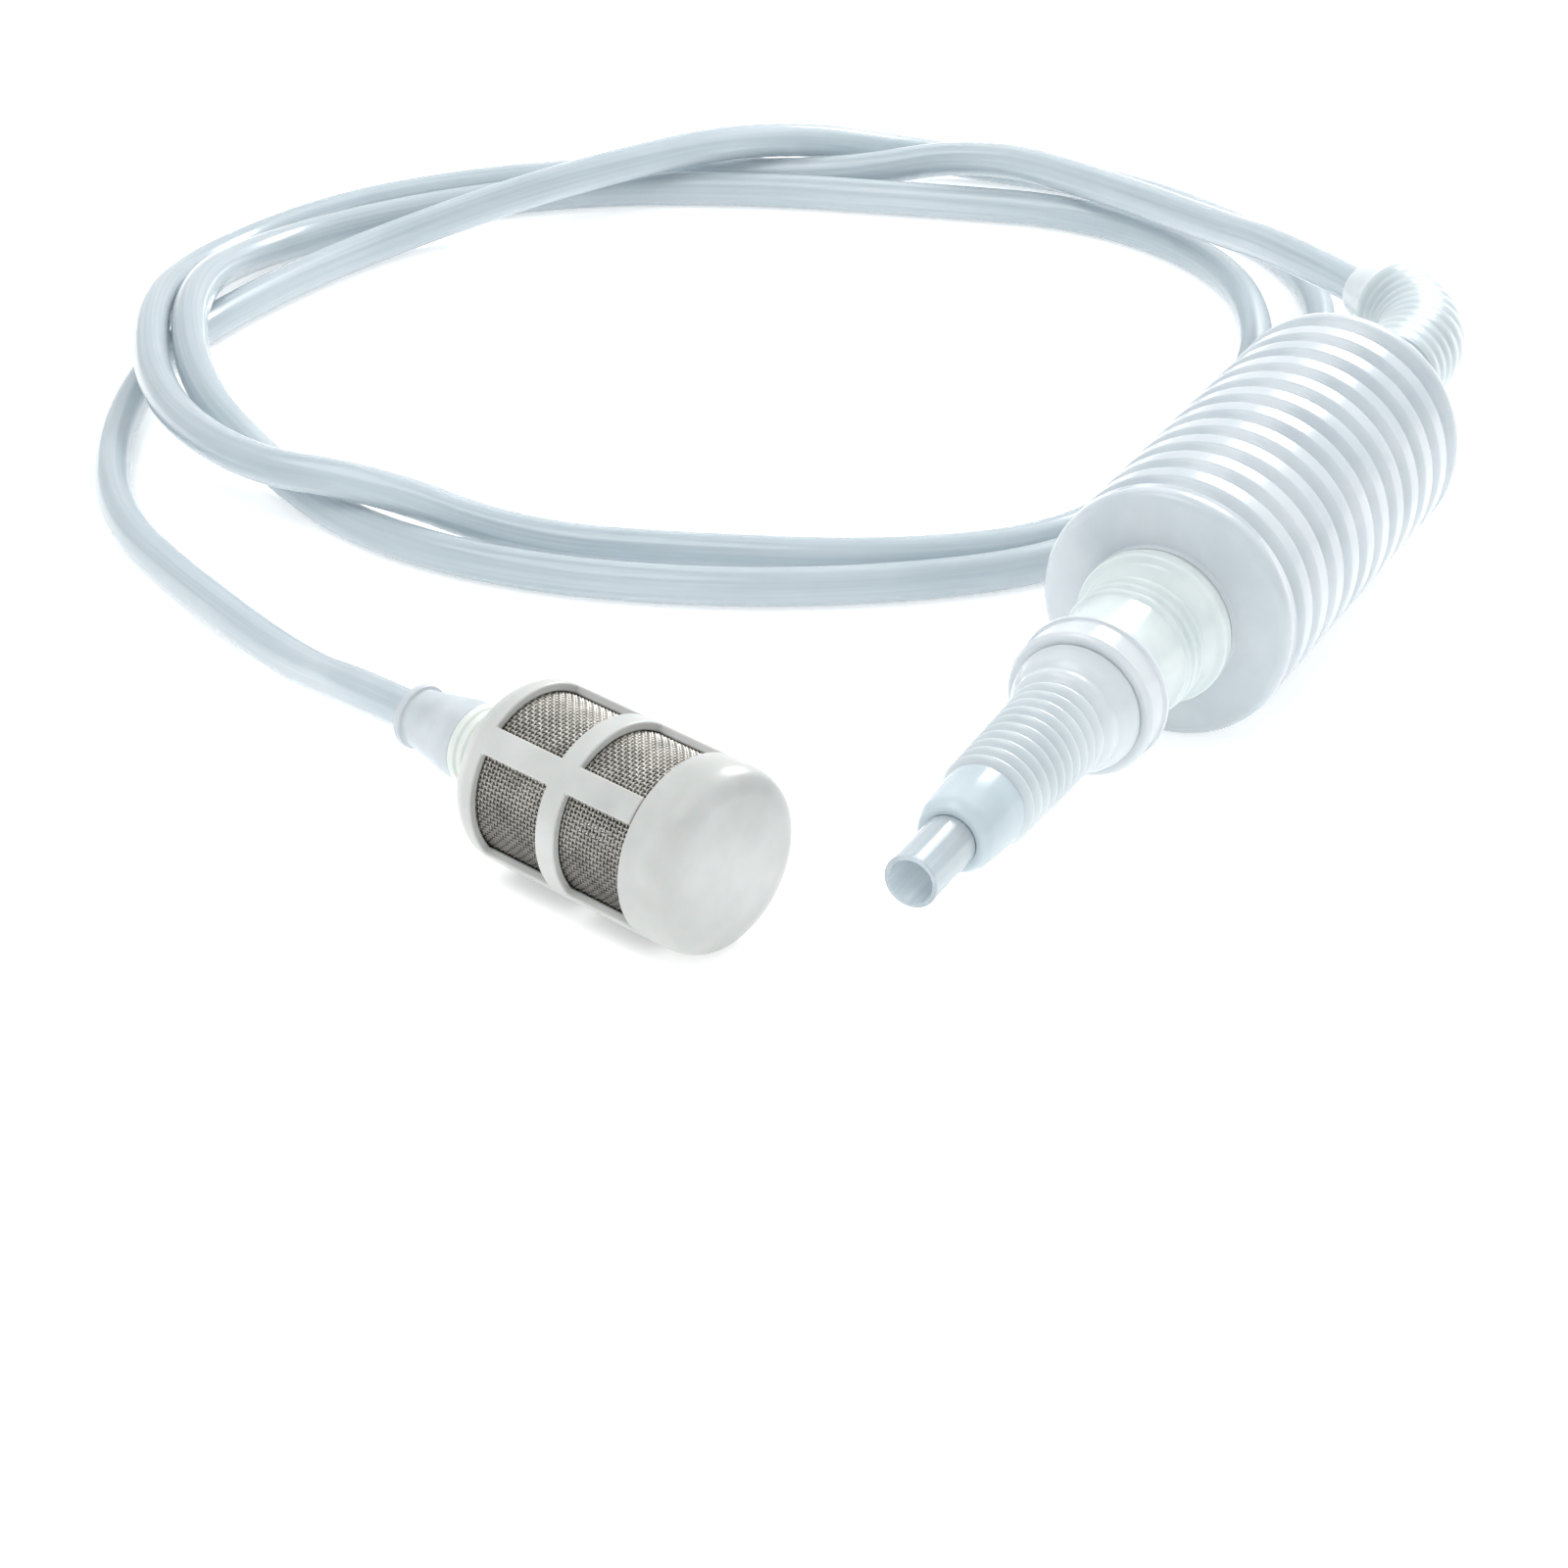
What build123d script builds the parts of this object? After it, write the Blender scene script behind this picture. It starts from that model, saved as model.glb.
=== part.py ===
from build123d import *
import os
from math import cos, radians, sin, tan, pi

os.makedirs("parts", exist_ok=True)

# A squeeze siphon lying on the floor (z = 0): a ribbed pump bulb with a check valve at each
# end, a corrugated spout, a corrugated elbow, a hose in two loose turns and a strainer.
# X runs along the pump from the spout to the elbow, and the coil lies on its +Y side.
# Lengths along the pump are counted outward from the bulb's rim, which is half_length from
# the middle. Lengths along the strainer are counted from its back ring toward the hose.

# threaded necks, which every fit at the bulb's mouths is counted from
neck_radius = 12.4

# pump bulb
bulb_radius = 25.0
bulb_length = 93.0
bulb_wall = 1.2
rib_count = 12
rib_crest = 4.4
rib_depth = 1.7
dish_depth = 1.8
collar_radius = neck_radius + 2.6
collar_length = 0.75
half_length = bulb_length / 2
axis_height = bulb_radius

# valve housings, one in each mouth of the bulb
fit_gap = 0.3
seal_gap = 0.1
plug_radius = neck_radius + 0.6
plug_depth = 6.0
seal_thickness = 1.0
flange_radius = neck_radius + 2.9
flange_thickness = 2.5
ridge_height = 0.6
ridge_width = 1.2
ridge_pitch = 3.0
bore_radius = neck_radius - 2.9
seat_thickness = 2.0
port_count = 6
port_radius = 1.9
disc_thickness = 1.5
disc_radius = bore_radius - 1.3
port_circle = disc_radius - 3.2
valve_lift = 1.5
stop_thickness = 1.5
stop_ring_width = 1.3
stop_arm_width = 2.0

# screw caps
cap_length = 7.6
cap_mouth_radius = neck_radius + 2.35
cap_bead = 1.2
cap_face_radius = neck_radius + 1.1
cap_top = 1.6
cap_hole_radius = neck_radius - 0.9
outlet_cap_face = 39.5
inlet_cap_face = 15.0

# corrugated spout and elbow
gasket_thickness = 1.0
spout_flange_thickness = 1.5
cone_radius = cap_hole_radius + 1.1
cone_length = 12.0
crest_radius = 9.5
groove_depth = 1.3
spout_wall = 0.9
ring_pitch = 3.1
spout_rings = 9
elbow_straight = 12.0
elbow_bend_radius = 26.0
elbow_angle = 60.0
elbow_rings = 11

# hose, stub tube and the sleeves that grip them
hose_radius = 4.0
hose_bore = hose_radius - 1.0
stub_radius = 5.0
stub_bore = stub_radius - 1.0
grip_gap = 0.05
tip_sleeve_length = 13.7
tip_sleeve_radius = 8.0
tip_sleeve_end_radius = stub_radius + 2.5
stub_depth = 10.0
stub_reach = 15.5
grip_squeeze = 0.2
cuff_length = 10.0
cuff_radius = 7.2
cuff_end_radius = hose_radius + 1.8
cuff_hose_depth = 6.9
elbow_lead = 33.0

# strainer
strainer_radius = 17.5
strainer_x = -140.0
strainer_y = 82.6
strainer_turn = 16.0
back_edge = 4.0
back_round = 4.5
back_hole_radius = 5.0
cage_wall = 1.7
cage_length = 44.0
window_start = 2.4
rib_width = 5.4
cage_rib_count = 4
cage_rib_turn = 45.0
mid_ring_place = 21.0
mid_ring_width = 4.6
end_cap_edge = 39.1
end_cap_face = 50.3
end_cap_round = 3.3
end_cap_wall = 0.9
spigot_wall = 0.7
mesh_thickness = 0.3
mesh_gap = 0.3
nipple_flange_radius = 8.6
nipple_flange_thickness = 3.0
nipple_radius = 7.8
nipple_length = 5.6
nipple_bore = hose_bore - 1.0
nut_radius = 7.2
nut_thickness = 3.0
barb_length = 12.0
washer_thickness = 0.8
strainer_sleeve_length = 16.0
strainer_sleeve_radius = 7.6
strainer_sleeve_end_radius = hose_radius + 1.4
sleeve_lip_radius = hose_radius + 2.2
sleeve_lip_width = 1.6
strainer_lead = 27.8

pump_axis = Axis((0, 0, axis_height), (1, 0, 0))
pump_plane = Plane(origin=(0, 0, axis_height), x_dir=(1, 0, 0), z_dir=(0, -1, 0))


def save(part, name):
    part.label = name
    export_step(part, f"parts/{name}.step")
    print(f"{name:26s} {part.volume / 1000:8.3f} cm3  valid {part.is_valid}")


def along(side, points):
    # points are (distance outward from the rim, radius)
    return [(side * (half_length + s), r) for s, r in points]


# bulb: twelve soft ribs, a shallow dish and a short collar at each end
rib_step = (bulb_length - rib_crest) / (rib_count - 1)
valley = rib_step - rib_crest
valley_radius = bulb_radius - rib_depth
mouth_radius = plug_radius + fit_gap
skin = []
for i in range(rib_count):
    start = -half_length + i * rib_step
    skin += [(start, bulb_radius), (start + rib_crest, bulb_radius)]
    if i < rib_count - 1:
        end = start + rib_crest
        skin += [(end + valley / 3, valley_radius), (end + valley * 2 / 3, valley_radius)]
collar_end = dish_depth + collar_length
end_face = [(collar_end, collar_radius), (dish_depth, collar_radius)]
inside_end = [(-bulb_wall, bulb_radius - bulb_wall), (dish_depth - bulb_wall, mouth_radius + bulb_wall),
              (dish_depth - bulb_wall, mouth_radius), (collar_end, mouth_radius)]
lining = [(x, r - bulb_wall) for x, r in skin[1:-1]]
with BuildPart() as bulb:
    with BuildSketch(pump_plane):
        with BuildLine():
            Polyline(along(-1, end_face) + skin + along(1, end_face[::-1]) + along(1, inside_end[::-1])
                     + lining[::-1] + along(-1, inside_end), close=True)
        make_face()
    revolve(axis=pump_axis)
save(bulb.part, "bellows_bulb")

# each end of the pump: seal, valve housing, disc, stop, gasket and screw cap
flange_start = collar_end + seal_gap + seal_thickness + seal_gap
flange_end = flange_start + flange_thickness
crest = neck_radius + ridge_height
outlet_neck_end = outlet_cap_face - cap_top - spout_flange_thickness - gasket_thickness
inlet_neck_end = inlet_cap_face - cap_top - spout_flange_thickness - gasket_thickness
outlet_ridges = [flange_end + ridge_pitch * (i + 1.7) for i in range(3)]
outlet_ridges += [outlet_neck_end - ridge_pitch / 2]
inlet_ridges = [inlet_neck_end - ridge_pitch / 2]
outlet_seat = flange_end + 6.0
inlet_seat = flange_end - seat_thickness

# flow is out toward the spout, so each disc lies on the spout side of its seat
ends = [("outlet", -1, outlet_neck_end, outlet_cap_face, outlet_ridges, outlet_seat, 1),
        ("inlet", 1, inlet_neck_end, inlet_cap_face, inlet_ridges, inlet_seat, -1)]
for end, side, neck_end, cap_face, ridges, seat, downstream in ends:
    with BuildPart() as seal:
        with BuildSketch(Plane.YZ.offset(side * (half_length + collar_end + seal_gap))):
            with Locations((0, axis_height)):
                Circle(collar_radius - fit_gap)
                Circle(plug_radius + fit_gap, mode=Mode.SUBTRACT)
        extrude(amount=side * seal_thickness)
    save(seal.part, f"{end}_seal")

    with BuildPart() as housing:
        with BuildSketch(pump_plane):
            with BuildLine():
                Polyline(along(side, [(-plug_depth, bore_radius), (-plug_depth, plug_radius - 0.8),
                                      (-plug_depth + 0.8, plug_radius), (flange_start, plug_radius),
                                      (flange_start, flange_radius), (flange_end, flange_radius),
                                      (flange_end, neck_radius), (neck_end, neck_radius),
                                      (neck_end, bore_radius)]), close=True)
            make_face()
            with BuildLine():
                Polyline(along(side, [(seat, 0), (seat, bore_radius + 0.1),
                                      (seat + seat_thickness, bore_radius + 0.1),
                                      (seat + seat_thickness, 0)]), close=True)
            make_face()
            for s in ridges:
                with BuildLine():
                    Polyline(along(side, [(s - ridge_width, neck_radius - 0.1), (s - ridge_width / 4, crest),
                                          (s + ridge_width / 4, crest),
                                          (s + ridge_width, neck_radius - 0.1)]), close=True)
                make_face()
        revolve(axis=pump_axis)
        with BuildSketch(Plane.YZ.offset(side * (half_length + seat - 1))):
            with Locations((0, axis_height)):
                with PolarLocations(port_circle, port_count):
                    Circle(port_radius)
        extrude(amount=side * (seat_thickness + 2), mode=Mode.SUBTRACT)
    save(housing.part, f"{end}_valve_housing")

    if downstream > 0:
        seat_face = seat + seat_thickness
    else:
        seat_face = seat
    disc_face = seat_face + downstream * seal_gap / 2
    with BuildPart() as disc:
        with BuildSketch(Plane.YZ.offset(side * (half_length + disc_face))):
            with Locations((0, axis_height)):
                Circle(disc_radius)
        extrude(amount=side * downstream * disc_thickness)
    save(disc.part, f"{end}_valve_disc")

    stop_face = disc_face + downstream * (disc_thickness + valve_lift + seal_gap)
    with BuildPart() as stop:
        with BuildSketch(Plane.YZ.offset(side * (half_length + stop_face))):
            with Locations((0, axis_height)):
                Circle(bore_radius - grip_gap)
                Circle(bore_radius - grip_gap - stop_ring_width, mode=Mode.SUBTRACT)
                for turn in (0, 60, 120):
                    Rectangle(2 * bore_radius - stop_ring_width, stop_arm_width, rotation=turn)
        extrude(amount=side * downstream * stop_thickness)
    save(stop.part, f"{end}_valve_stop")

    with BuildPart() as gasket:
        with BuildSketch(Plane.YZ.offset(side * (half_length + neck_end))):
            with Locations((0, axis_height)):
                Circle(neck_radius)
                Circle(bore_radius, mode=Mode.SUBTRACT)
        extrude(amount=side * gasket_thickness)
    save(gasket.part, f"{end}_cap_gasket")

    cap_mouth = cap_face - cap_length
    with BuildPart() as cap:
        with BuildSketch(pump_plane):
            with BuildLine():
                Polyline(along(side, [(cap_mouth, crest + grip_gap), (cap_mouth, cap_mouth_radius),
                                      (cap_mouth + cap_bead, cap_mouth_radius),
                                      (cap_mouth + cap_bead, cap_mouth_radius - 0.5),
                                      (cap_face - cap_top, cap_face_radius + 0.6),
                                      (cap_face, cap_face_radius), (cap_face, cap_hole_radius),
                                      (cap_face - cap_top, cap_hole_radius),
                                      (cap_face - cap_top, crest + grip_gap)]), close=True)
            make_face()
        revolve(axis=pump_axis)
    save(cap.part, f"{end}_screw_cap")


def spout_root(cap_face):
    # flange held by the cap, waist through the cap's hole, cone down to the first ring
    waist = cap_hole_radius - 0.2
    back = cap_face - cap_top - spout_flange_thickness
    outer = [(back, neck_radius), (cap_face - cap_top, neck_radius), (cap_face - cap_top, waist),
             (cap_face + 0.2, waist), (cap_face + 0.2, cone_radius),
             (cap_face + cone_length, crest_radius)]
    inner = [(cap_face + cone_length, crest_radius - groove_depth - spout_wall),
             (cap_face + 0.2, waist - spout_wall - 0.3), (back, waist - spout_wall - 0.3)]
    return outer, inner


# spout: a flexible corrugated nozzle, cone and nine rings, and a plain end for the tip sleeve
outer, inner = spout_root(outlet_cap_face)
rings_start = outlet_cap_face + cone_length
zigzag = []
for i in range(spout_rings):
    s = rings_start + ring_pitch * i
    r = crest_radius - 0.07 * i
    zigzag += [(s + ring_pitch * 0.2, r - groove_depth), (s + ring_pitch * 0.45, r - groove_depth),
               (s + ring_pitch * 0.65, r), (s + ring_pitch, r)]
spout_end = rings_start + ring_pitch * spout_rings
tube_bore = crest_radius - groove_depth - spout_wall - 0.6
with BuildPart() as spout:
    with BuildSketch(pump_plane):
        with BuildLine():
            Polyline(along(-1, outer + zigzag + [(spout_end, tube_bore), (rings_start, tube_bore)]
                           + inner[1:]), close=True)
        make_face()
    revolve(axis=pump_axis)
save(spout.part, "outlet_spout")

# tip sleeve on the end of the spout, and the stub tube that it grips
sleeve_start = spout_end + seal_gap
sleeve_end = sleeve_start + tip_sleeve_length
stub_start = sleeve_end - stub_depth
stub_end = sleeve_end + stub_reach
gripped = stub_radius - grip_squeeze
with BuildPart() as tip_sleeve:
    with BuildSketch(pump_plane):
        with BuildLine():
            Polyline(along(-1, [(sleeve_start, tube_bore), (sleeve_start, tip_sleeve_radius),
                                (sleeve_start + 6.0, tip_sleeve_radius - 0.1),
                                (sleeve_end - 1.0, tip_sleeve_end_radius),
                                (sleeve_end, tip_sleeve_end_radius - 0.6),
                                (sleeve_end, gripped + grip_gap), (stub_start, gripped + grip_gap),
                                (stub_start, stub_bore)]), close=True)
        make_face()
    revolve(axis=pump_axis)
save(tip_sleeve.part, "outlet_tip_sleeve")

# the sleeve squeezes the tube a little, and the free length outside it keeps its full size
free_start = sleeve_end + fit_gap
with BuildPart() as stub:
    with BuildSketch(pump_plane):
        with BuildLine():
            Polyline(along(-1, [(stub_start, stub_bore), (stub_start, gripped), (free_start, gripped),
                                (free_start, stub_radius), (stub_end, stub_radius),
                                (stub_end, stub_bore)]), close=True)
        make_face()
    revolve(axis=pump_axis)
save(stub.part, "outlet_stub_tube")

# elbow: the same moulding as the spout, longer and bent toward the coil
outer, inner = spout_root(inlet_cap_face)
elbow_start = half_length + inlet_cap_face + cone_length
bend_start = elbow_start + elbow_straight
bend_out = (cos(radians(elbow_angle)), sin(radians(elbow_angle)))
bend_end = (bend_start + elbow_bend_radius * bend_out[1], elbow_bend_radius * (1 - bend_out[0]))
elbow_tube = crest_radius - groove_depth
with BuildPart() as elbow:
    with BuildLine() as elbow_line:
        Line((elbow_start, 0, axis_height), (bend_start, 0, axis_height))
        JernArc((bend_start, 0, axis_height), (1, 0, 0), elbow_bend_radius, elbow_angle)
    with BuildSketch(Plane.YZ.offset(elbow_start)):
        with Locations((0, axis_height)):
            Circle(elbow_tube)
            Circle(tube_bore, mode=Mode.SUBTRACT)
    sweep(path=elbow_line.wire())
    for i in range(elbow_rings):
        with BuildSketch(Plane(elbow_line.wire() ^ ((i + 0.6) / elbow_rings))):
            Circle(crest_radius)
            Circle(tube_bore + spout_wall / 2, mode=Mode.SUBTRACT)
        extrude(amount=ring_pitch * 0.25, both=True)
    with BuildSketch(pump_plane):
        with BuildLine():
            Polyline(along(1, outer + inner), close=True)
        make_face()
    revolve(axis=pump_axis)
save(elbow.part, "inlet_elbow")

# cuff on the elbow's end, where the hose goes in
cuff_plane = Plane(origin=(bend_end[0], bend_end[1], axis_height), x_dir=(*bend_out, 0),
                   z_dir=(bend_out[1], -bend_out[0], 0))
cuff_axis = Axis(cuff_plane.origin, (*bend_out, 0))
cuff_stop = cuff_length - cuff_hose_depth
with BuildPart() as cuff:
    with BuildSketch(cuff_plane):
        with BuildLine():
            Polyline([(seal_gap, tube_bore), (seal_gap, cuff_radius + 0.6), (2.0, cuff_radius + 0.6),
                      (3.0, cuff_radius), (cuff_length - 1.0, cuff_end_radius),
                      (cuff_length, cuff_end_radius - 0.4), (cuff_length, hose_radius + grip_gap),
                      (cuff_stop, hose_radius + grip_gap), (cuff_stop, hose_bore)], close=True)
        make_face()
    revolve(axis=cuff_axis)
save(cuff.part, "inlet_hose_cuff")

# strainer, lying on its side, with its axis along strainer_dir toward the hose
strainer_dir = (sin(radians(strainer_turn)), cos(radians(strainer_turn)))
strainer_plane = Plane(origin=(strainer_x, strainer_y, strainer_radius), x_dir=(*strainer_dir, 0),
                       z_dir=(strainer_dir[1], -strainer_dir[0], 0))
strainer_axis = Axis(strainer_plane.origin, (*strainer_dir, 0))


def strainer_section(t):
    return Plane(origin=strainer_plane.from_local_coords((t, 0, 0)), x_dir=(0, 0, 1),
                 z_dir=(*strainer_dir, 0))


cage_inner = strainer_radius - cage_wall
back_face = back_round
spigot_radius = cage_inner + spigot_wall
with BuildPart() as cage:
    with BuildSketch(strainer_plane):
        with BuildLine():
            Polyline([(-window_start, cage_inner), (-window_start, strainer_radius), (0, strainer_radius),
                      (back_face * 0.55, strainer_radius - 1.4), (back_face, strainer_radius - back_edge),
                      (back_face, back_hole_radius), (back_face - cage_wall, back_hole_radius),
                      (back_face - cage_wall, cage_inner - 3.0), (0, cage_inner)], close=True)
        make_face()
    revolve(axis=strainer_axis)
    with BuildSketch(strainer_section(-mid_ring_place - mid_ring_width / 2)):
        Circle(strainer_radius)
        Circle(cage_inner, mode=Mode.SUBTRACT)
    extrude(amount=mid_ring_width)
    with BuildSketch(strainer_section(-cage_length)):
        Circle(spigot_radius)
        Circle(cage_inner, mode=Mode.SUBTRACT)
    extrude(amount=cage_length - end_cap_edge + 1.0)
    with BuildSketch(strainer_section(-end_cap_edge + fit_gap)):
        with PolarLocations(cage_inner + cage_wall / 2, cage_rib_count, start_angle=cage_rib_turn):
            Rectangle(cage_wall * 3, rib_width)
        Circle(strainer_radius, mode=Mode.INTERSECT)
        Circle(cage_inner, mode=Mode.SUBTRACT)
    extrude(amount=end_cap_edge - fit_gap - window_start + 0.5)
save(cage.part, "strainer_cage")

# woven mesh sleeve inside the cage
mesh_radius = cage_inner - mesh_gap
with BuildPart() as mesh:
    with BuildSketch(strainer_section(-cage_length)):
        Circle(mesh_radius)
        Circle(mesh_radius - mesh_thickness, mode=Mode.SUBTRACT)
    extrude(amount=cage_length - fit_gap)
save(mesh.part, "strainer_mesh")

# end cap, pushed over the cage's spigot and pulled off to empty the strainer
cap_bore = spigot_radius + fit_gap
cap_inside = end_cap_face - end_cap_wall * 2
with BuildPart() as end_cap:
    with BuildSketch(strainer_plane):
        with BuildLine():
            rim = Polyline([(-cap_inside, 0), (-cap_inside, cap_bore - 2.0), (-cap_inside + 2.0, cap_bore),
                            (-end_cap_edge, cap_bore), (-end_cap_edge, strainer_radius),
                            (-end_cap_face + end_cap_round, strainer_radius)])
            face = Line((-end_cap_face, strainer_radius - end_cap_round), (-end_cap_face, 0))
            RadiusArc(rim @ 1, face @ 0, -end_cap_round)
            Line(face @ 1, rim @ 0)
        make_face()
    revolve(axis=strainer_axis)
save(end_cap.part, "strainer_end_cap")

# threaded nipple through the cage's back, its washer and the nut inside that holds it
nipple_start = back_face + washer_thickness
shoulder = nipple_start + nipple_flange_thickness + nipple_length
nut_face = back_face - cage_wall
with BuildPart() as washer:
    with BuildSketch(strainer_section(back_face)):
        Circle(nipple_flange_radius - fit_gap)
        Circle(back_hole_radius, mode=Mode.SUBTRACT)
    extrude(amount=washer_thickness)
save(washer.part, "strainer_washer")

stem_radius = back_hole_radius - fit_gap
with BuildPart() as nipple:
    with BuildSketch(strainer_plane):
        with BuildLine():
            Polyline([(nut_face - nut_thickness - 0.5, nipple_bore), (nut_face - nut_thickness - 0.5, stem_radius),
                      (nipple_start, stem_radius), (nipple_start, nipple_flange_radius),
                      (nipple_start + nipple_flange_thickness, nipple_flange_radius),
                      (nipple_start + nipple_flange_thickness, nipple_radius), (shoulder, nipple_radius),
                      (shoulder, hose_bore - grip_gap), (shoulder + barb_length - 2, hose_bore - grip_gap),
                      (shoulder + barb_length, nipple_bore + 0.3), (shoulder + barb_length, nipple_bore)],
                     close=True)
        make_face()
    revolve(axis=strainer_axis)
save(nipple.part, "strainer_nipple")

with BuildPart() as nut:
    with BuildSketch(strainer_section(nut_face - nut_thickness)):
        RegularPolygon(nut_radius, 6)
        Circle(stem_radius + grip_gap, mode=Mode.SUBTRACT)
    extrude(amount=nut_thickness)
save(nut.part, "strainer_nut")

# tapered rubber sleeve over the end of the hose
sleeve_back = shoulder + seal_gap
sleeve_front = sleeve_back + strainer_sleeve_length
with BuildPart() as hose_sleeve:
    with BuildSketch(strainer_plane):
        with BuildLine():
            Polyline([(sleeve_back, hose_radius + grip_gap), (sleeve_back, strainer_sleeve_radius),
                      (sleeve_back + 3, strainer_sleeve_radius),
                      (sleeve_front - sleeve_lip_width, strainer_sleeve_end_radius),
                      (sleeve_front - sleeve_lip_width, sleeve_lip_radius),
                      (sleeve_front, sleeve_lip_radius), (sleeve_front, hose_radius + grip_gap)], close=True)
        make_face()
    revolve(axis=strainer_axis)
save(hose_sleeve.part, "strainer_hose_sleeve")

# hose: from the strainer round the coil twice and up to the elbow's cuff, as it lies on the
# floor (strand centres at hose_radius) and over itself (at hump)
floor = hose_radius
hump = 3 * hose_radius + 1.0
strainer_end = strainer_plane.from_local_coords((sleeve_back, 0, 0))
strainer_run = strainer_plane.from_local_coords((sleeve_back + strainer_lead, 0, 0))
cuff_end = cuff_plane.from_local_coords((cuff_stop + seal_gap, 0, 0))
cuff_run = cuff_plane.from_local_coords((cuff_stop + seal_gap + elbow_lead, 0, 0))
lead = [(-109, 152, 6.5), (-87, 191, floor), (-68, 223, floor), (-36, 246, floor), (4, 261, floor),
        (46, 258.5, floor), (88, 248, floor), (122, 222, hump), (161, 191, hump), (185, 156, floor),
        (191, 110, floor), (172, 60, floor), (131, 33, floor)]
first_turn = [(82, 31.5, floor), (36, 31, floor), (3, 42, floor), (-20, 66, floor), (-40, 100, floor),
              (-51, 138, floor), (-50, 174, floor), (-36, 203, floor), (-23, 233, hump), (20, 261, hump),
              (64, 268, floor), (98, 255, floor), (128, 227, floor), (148, 190, floor), (160, 152, floor),
              (172, 110, floor), (157, 69, floor), (120, 45.5, floor)]
second_turn = [(80, 40, floor), (40, 39.5, floor), (10, 48, floor), (-11, 75, floor), (-27, 110, floor),
               (-38, 144, floor), (-45, 175, hump), (-50, 203, hump), (-31, 238, hump), (9, 264, hump),
               (52, 278, floor), (94, 270, floor), (126, 244, floor), (150, 210, floor), (163, 176, floor),
               (175, 140, hump), (167, 102, hump), (148, 69, 17)]
route = [Vector(p) for p in (strainer_end, strainer_run, *lead, *first_turn, *second_turn, cuff_run, cuff_end)]
runs = [(b - a).length for a, b in zip(route, route[1:])]
radii = []
for i in range(1, len(route) - 1):
    turn = radians((route[i] - route[i - 1]).get_angle(route[i + 1] - route[i]))
    radii.append(0.45 * min(runs[i - 1], runs[i]) / tan(turn / 2))
with BuildPart() as hose:
    with BuildLine() as hose_line:
        FilletPolyline(*route, radius=radii)
    with BuildSketch(Plane(origin=route[0], z_dir=route[1] - route[0])):
        Circle(hose_radius)
        Circle(hose_bore, mode=Mode.SUBTRACT)
    sweep(path=hose_line.wire())
save(hose.part, "hose")
hose_length = hose_line.wire().length
section = pi * (hose_radius**2 - hose_bore**2)
print(f"hose length {hose_length:.0f}, volume over section times length {hose.part.volume / section / hose_length:.4f}")
print("bend radii", [round(r) for r in radii])
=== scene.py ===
import bmesh
import bpy
import numpy as np
from math import cos, pi, radians, sin
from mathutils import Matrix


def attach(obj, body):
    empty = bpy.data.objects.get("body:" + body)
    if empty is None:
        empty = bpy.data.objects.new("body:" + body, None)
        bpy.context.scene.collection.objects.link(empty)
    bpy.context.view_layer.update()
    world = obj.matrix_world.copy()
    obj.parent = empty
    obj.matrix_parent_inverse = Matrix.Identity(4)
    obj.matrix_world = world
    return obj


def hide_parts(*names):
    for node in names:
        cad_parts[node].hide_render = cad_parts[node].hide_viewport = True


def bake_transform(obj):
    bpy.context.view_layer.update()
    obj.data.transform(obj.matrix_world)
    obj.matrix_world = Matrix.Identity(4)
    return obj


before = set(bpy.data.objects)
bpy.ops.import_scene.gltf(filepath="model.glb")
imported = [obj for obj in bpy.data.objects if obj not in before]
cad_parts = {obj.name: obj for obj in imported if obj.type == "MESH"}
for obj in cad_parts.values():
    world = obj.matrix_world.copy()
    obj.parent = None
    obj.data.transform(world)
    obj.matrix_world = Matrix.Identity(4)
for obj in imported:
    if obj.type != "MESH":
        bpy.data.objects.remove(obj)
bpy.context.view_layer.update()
print("frame loaded:", len(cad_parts), "nodes")

mm = 0.001

# camera: where it stands in metres, how far it looks down and round in degrees, and its lens in mm
cameraSettings = {"place": (-0.7503, -0.2819, 0.4205), "down": 29.77, "round": -62.8, "lens": 104.6}
cameraData = bpy.data.cameras.new("camera")
cameraData.lens = cameraSettings["lens"]
cameraData.sensor_width = 36
camera = bpy.data.objects.new("camera", cameraData)
camera.location = cameraSettings["place"]
camera.rotation_euler = (radians(90 - cameraSettings["down"]), 0, radians(cameraSettings["round"]))
bpy.context.collection.objects.link(camera)
bpy.context.scene.camera = camera


def addMesh(name, points, faces, uv=None):
    # points is (n, 3) and faces (m, 4), both whole arrays; uv gives (m, 4, 2)
    mesh = bpy.data.meshes.new(name)
    mesh.from_pydata(points.reshape(-1, 3), [], faces.reshape(-1, 4).tolist())
    if uv is not None:
        mesh.uv_layers.new(name="uvAlong").data.foreach_set("uv", uv.astype(np.float32).ravel())
    piece = bpy.data.objects.new(name, mesh)
    bpy.context.collection.objects.link(piece)
    return piece


def gridFaces(rows, columns, closeRows, closeColumns):
    # each cell (i, j) of the grid is the quad (i, j), (i, j+1), (i+1, j+1), (i+1, j), going round where closed
    i = np.arange(rows if closeRows else rows - 1)[:, None]
    j = np.arange(columns if closeColumns else columns - 1)[None, :]
    below, beside = (i + 1) % rows, (j + 1) % columns
    return np.stack([i * columns + j, i * columns + beside, below * columns + beside, below * columns + j], -1)


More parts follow.
